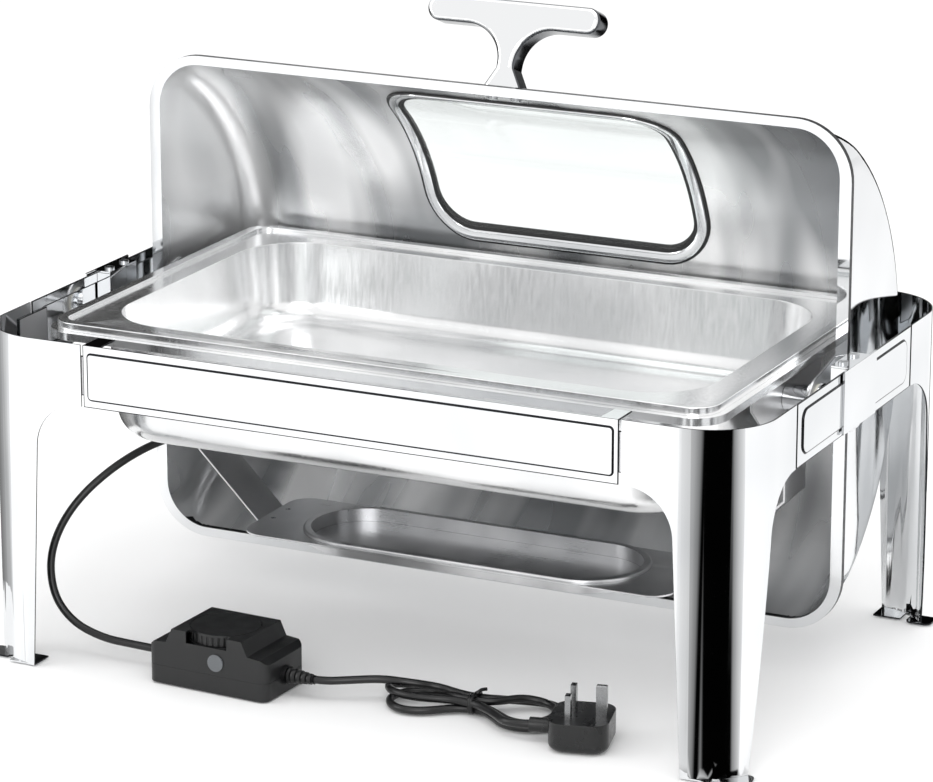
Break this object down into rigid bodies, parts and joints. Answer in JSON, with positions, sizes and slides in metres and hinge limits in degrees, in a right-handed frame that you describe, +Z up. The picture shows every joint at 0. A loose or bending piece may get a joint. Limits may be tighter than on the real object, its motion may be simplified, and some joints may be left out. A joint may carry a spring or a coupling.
{
  "type": "electric roll-top chafing dish",
  "caption": "Rectangular electric chafing dish: open frame on four legs, water pan, food pan, hinged barrel lid with a window and handle, heater and corded dial controller.",
  "frame": {"origin": "on the floor under the middle of the frame", "axes": "+X along the long side to the right, -Y towards the front, +Z up"},
  "size_m": [0.625, 0.402, 0.4794],
  "materials": {
    "mirror_steel": "mirror-polished stainless steel",
    "polished_handle": "polished chrome",
    "satin_steel": "satin stainless steel",
    "plain_steel": "plain stainless steel",
    "window_glass": "clear tempered glass",
    "black_silicone": "matte",
    "white_nylon": "matte",
    "heater_aluminium": "milled",
    "mica": "matte",
    "ceramic_fibre": "matte",
    "brass": "plain",
    "black_rubber": "satin",
    "black_plastic": "fine grain",
    "black_gloss_plastic": "semi-gloss",
    "tie_plastic": "matte",
    "board_green": "matte",
    "component_plastic": "matte",
    "lens_grey": "translucent grey"
  },
  "bodies": {
    "frame": {"leg_front_right": "mirror_steel", "leg_front_left": "mirror_steel", "leg_back_right": "mirror_steel", "leg_back_left": "mirror_steel", "rail_front": "mirror_steel", "rail_back": "mirror_steel", "rail_left": "mirror_steel", "rail_right": "mirror_steel", "splice_plates": "plain_steel", "pivot_block_left": "plain_steel", "hinge_bracket_left": "mirror_steel", "pivot_sleeve_left": "plain_steel", "pivot_block_right": "plain_steel", "hinge_bracket_right": "mirror_steel", "pivot_sleeve_right": "plain_steel", "hinge_screws": "plain_steel", "pivot_studs": "plain_steel", "pivot_nuts": "plain_steel", "sleeve_collars": "plain_steel", "pan_support_left": "plain_steel", "hanger_strap_left": "plain_steel", "pan_support_right": "plain_steel", "hanger_strap_right": "plain_steel", "strap_rivets": "plain_steel", "shelf": "plain_steel", "controller_cover": "black_plastic", "controller_base": "black_plastic", "circuit_board": "board_green", "controller_screws": "plain_steel", "potentiometer": "component_plastic", "indicator_lens": "lens_grey", "cord_collar": "black_rubber", "mains_strain_relief": "black_rubber", "plug_body": "black_gloss_plastic", "plug_pins": "brass", "mains_cord_hank": "black_rubber", "cord_tie": "tie_plastic", "heater_cord": "black_rubber", "mains_cord_lead": "black_rubber", "mains_cord_tail": "black_rubber"},
    "lid": {"lid_shell": "mirror_steel", "window_glass": "window_glass", "window_gasket": "black_silicone", "lid_handle": "polished_handle", "handle_screws": "plain_steel", "lid_arm_left": "plain_steel", "arm_bush_left": "white_nylon", "lid_arm_right": "plain_steel", "arm_bush_right": "white_nylon", "arm_rivets": "plain_steel"},
    "water_pan": {"water_pan": "satin_steel", "heat_spreader": "heater_aluminium", "heating_element": "mica", "heater_insulation": "ceramic_fibre", "thermal_cutout": "brass", "heater_housing": "plain_steel", "heater_nuts": "plain_steel", "heater_gland": "black_rubber"},
    "food_pan": {"food_pan": "satin_steel"},
    "dial": {"dial": "black_plastic"}
  },
  "joints": [
    {"name": "lid_hinge", "type": "hinge", "parent": "frame", "child": "lid", "pos_m": [0, 0.003, 0.223], "axis": [1, 0, 0], "range_deg": [0, 90]},
    {"name": "water_pan_lift", "type": "slide", "parent": "frame", "child": "water_pan", "axis": [0, 0, 1], "range_m": [0, 0.012]},
    {"name": "food_pan_lift", "type": "slide", "parent": "water_pan", "child": "food_pan", "axis": [0, 0, 1], "range_m": [0, 0.018]},
    {"name": "dial_turn", "type": "hinge", "parent": "frame", "child": "dial", "pos_m": [-0.117, -0.165, 0.04], "axis": [0, 0, 1], "range_deg": [0, 270]}
  ]
}
